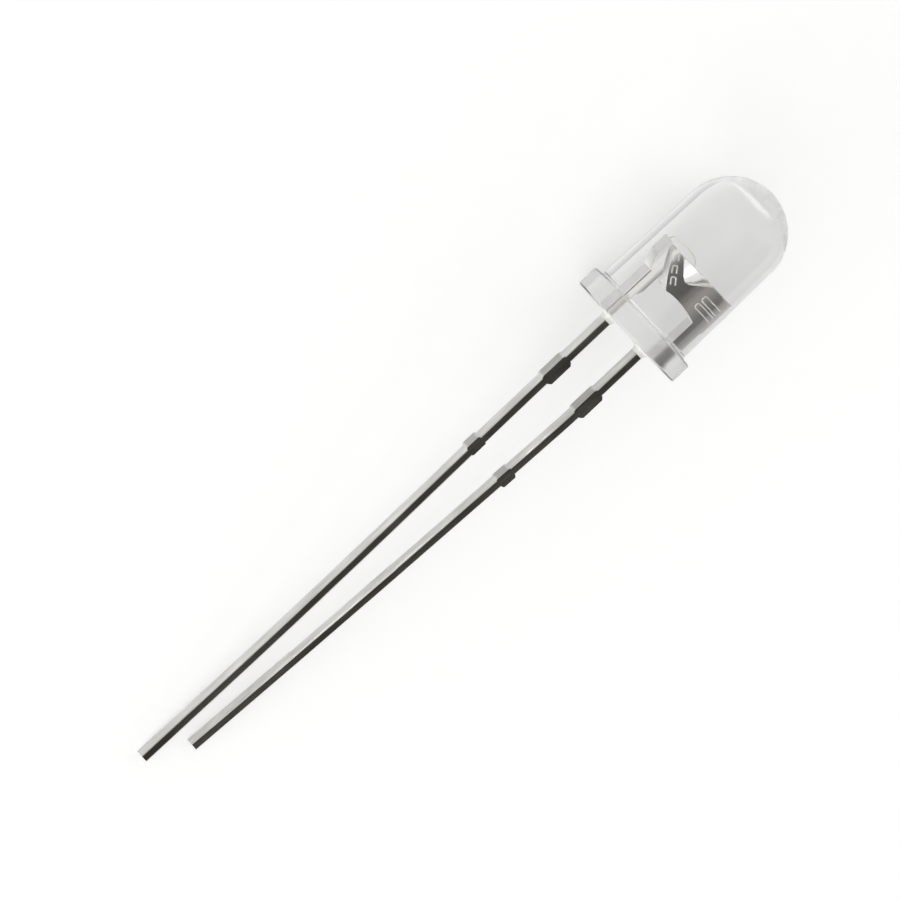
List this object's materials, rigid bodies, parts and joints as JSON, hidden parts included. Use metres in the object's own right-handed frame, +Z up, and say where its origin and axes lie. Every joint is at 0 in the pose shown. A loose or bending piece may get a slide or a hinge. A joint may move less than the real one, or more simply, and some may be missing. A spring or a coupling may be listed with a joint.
{
  "type": "through hole LED",
  "caption": "Clear round light-emitting diode with a domed lens, a flanged base with a flat, and a pair of square leads for a circuit board.",
  "frame": {"origin": "middle of the footprint, on the ground that the LED lies on", "axes": "+X along the LED, leads to dome, as seen from above; +Y from the short cathode lead to the long anode lead; +Z up, across the sheet metal of the leads"},
  "size_m": [0.0358, 0.0054, 0.0059],
  "materials": {
    "clear_epoxy": "water-clear epoxy, polished",
    "tinned_steel": "tin plated, satin",
    "silver_adhesive": "matt",
    "semiconductor": "polished",
    "gold": "polished"
  },
  "bodies": {
    "root": {"lens": "clear_epoxy", "cathode_lead": "tinned_steel", "anode_lead": "tinned_steel", "die_attach": "silver_adhesive", "die": "semiconductor", "bond_wire": "gold"}
  },
  "joints": []
}
